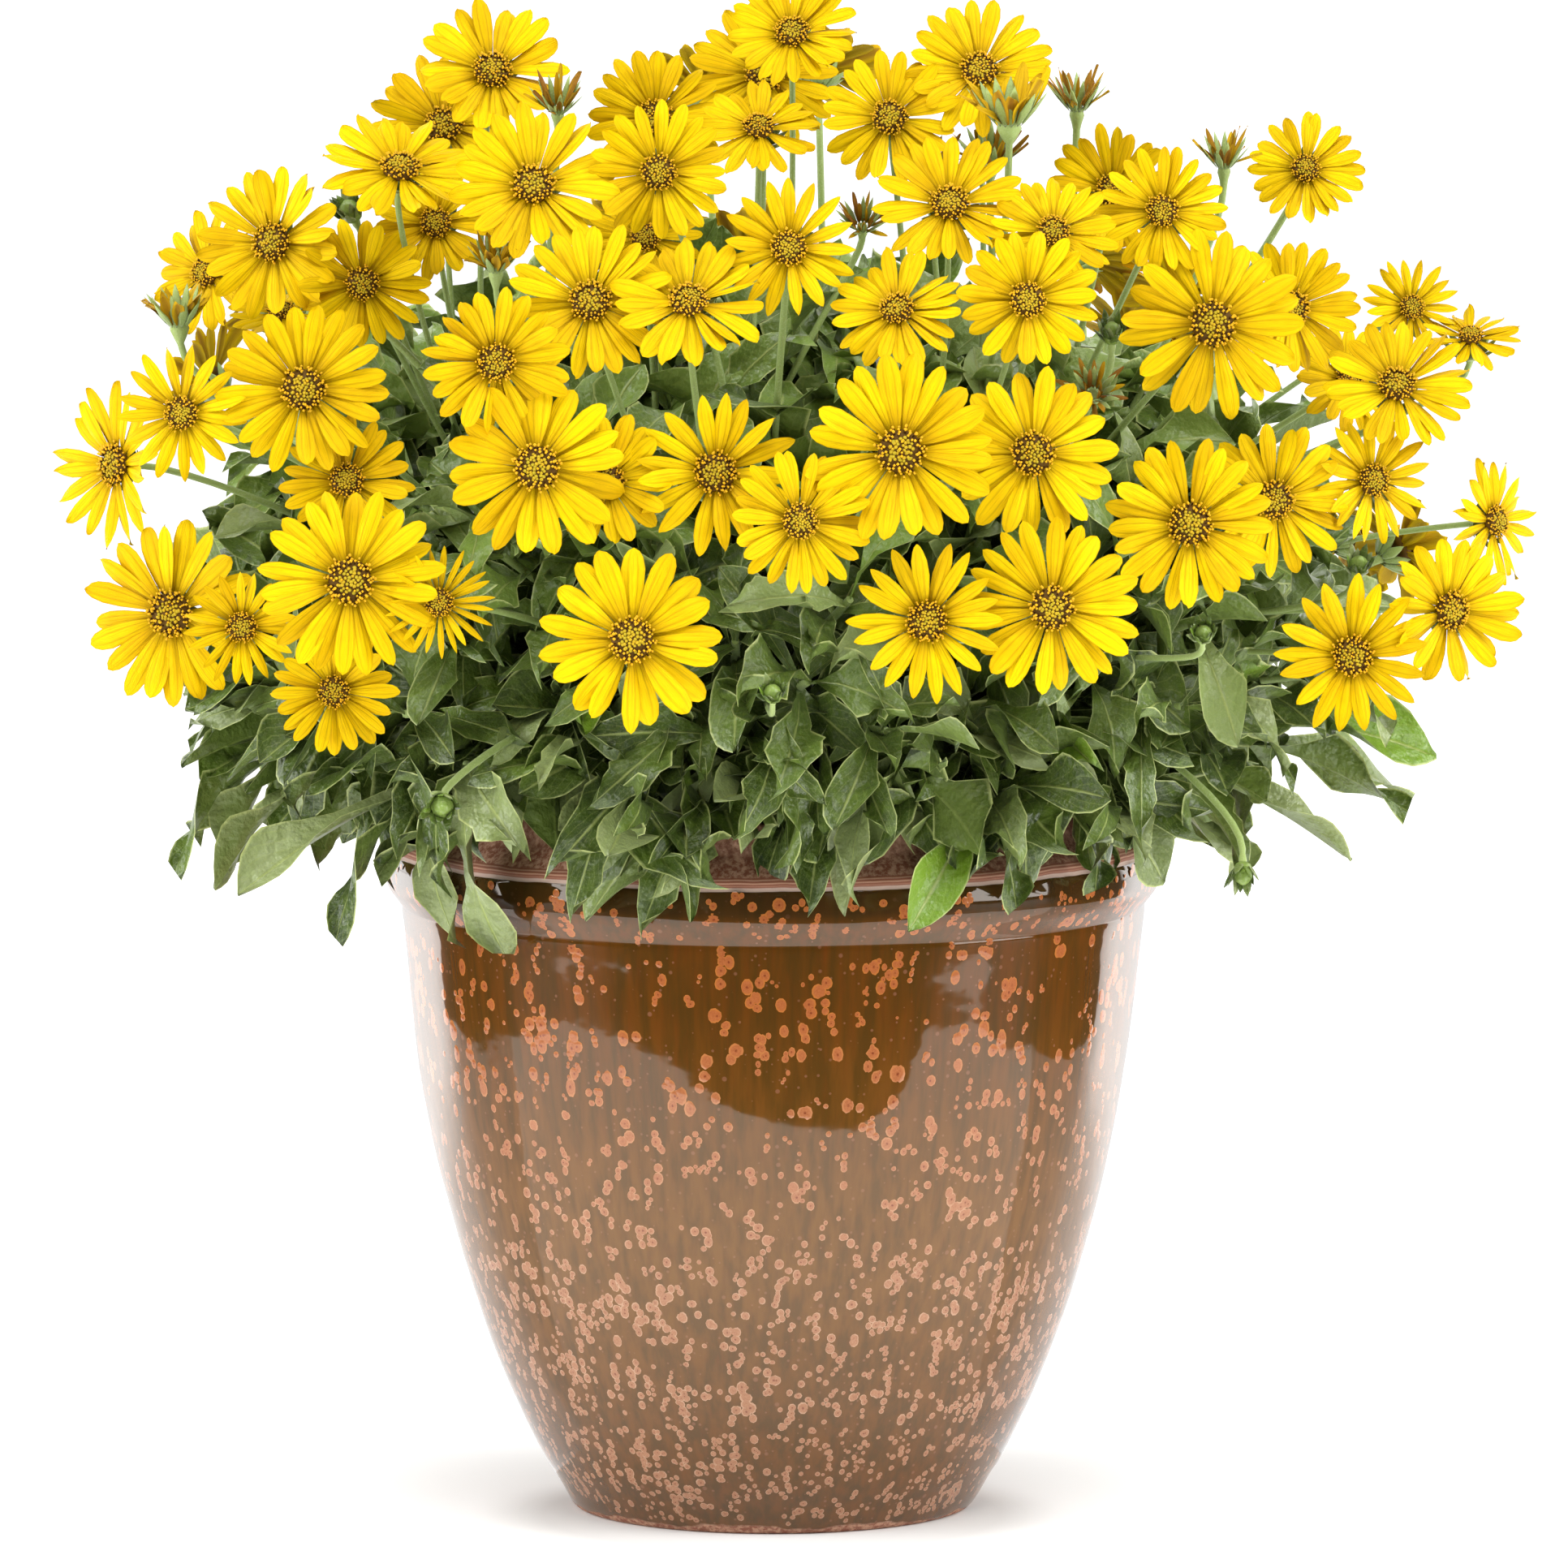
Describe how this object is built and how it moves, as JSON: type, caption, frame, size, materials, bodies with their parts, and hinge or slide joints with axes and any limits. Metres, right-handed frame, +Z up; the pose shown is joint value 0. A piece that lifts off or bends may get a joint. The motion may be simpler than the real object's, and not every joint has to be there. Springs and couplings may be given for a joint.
{
  "type": "potted osteospermum",
  "caption": "Bushy osteospermum with yellow daisy heads above toothed grey-green leaves, in a round glazed pot with a rolled rim.",
  "frame": {"origin": "middle of the whole plant's box, on the floor under the pot's foot", "axes": "+Z up, +Y towards the back, so the side with most flower heads looks along -Y; the pot's own axis stands at X -9.2 mm, Y 6.9 mm"},
  "size_m": [0.5394, 0.45, 0.5692],
  "materials": {
    "glazed_pot": "glossy amber-brown speckled glaze, bare pink clay under the lip",
    "potting_soil": "matte dark potting mix of peat and bark",
    "foliage": "soft, finely hairy grey-green leaves and stalks",
    "petals": "satin bright yellow petals round a dark purple disc"
  },
  "bodies": {
    "root": {"pot": "glazed_pot", "soil": "potting_soil", "leafy_stem_1": "foliage", "leafy_stem_2": "foliage", "leafy_stem_3": "foliage", "leafy_stem_4": "foliage", "leafy_stem_5": "foliage", "leafy_stem_6": "foliage", "leafy_stem_7": "foliage", "blooms_06_33": "petals", "blooms_12_13": "petals", "blooms_22_21": "petals", "blooms_24_23": "petals", "blooms_26_25": "petals", "blooms_29_28": "petals", "blooms_32_31": "petals", "blooms_39_40": "petals", "blooms_45_47": "petals", "blooms_54_48": "petals", "blooms_64_60": "petals", "blooms_63_62": "petals", "blooms_56_57": "petals", "blooms_16_20": "petals", "blooms_07_09": "petals", "blooms_rear_1": "petals", "blooms_rear_2": "petals", "blooms_rear_3": "petals", "blooms_rear_4": "petals", "blooms_rear_5": "petals", "blooms_rear_6": "petals", "blooms_rear_7": "petals", "bloom_01": "petals", "bloom_02": "petals", "bloom_03": "petals", "bloom_05": "petals", "bloom_08": "petals", "bloom_10": "petals", "bloom_14": "petals", "bloom_15": "petals", "bloom_17": "petals", "bloom_18": "petals", "bloom_19": "petals", "bloom_27": "petals", "bloom_30": "petals", "bloom_34": "petals", "bloom_35": "petals", "bloom_36": "petals", "bloom_37": "petals", "bloom_38": "petals", "bloom_46": "petals", "bloom_49": "petals", "bloom_51": "petals", "bloom_52": "petals", "bloom_53": "petals", "bloom_55": "petals", "bloom_58": "petals", "bloom_59": "petals", "bloom_61": "petals", "bloom_65": "petals"}
  },
  "joints": []
}
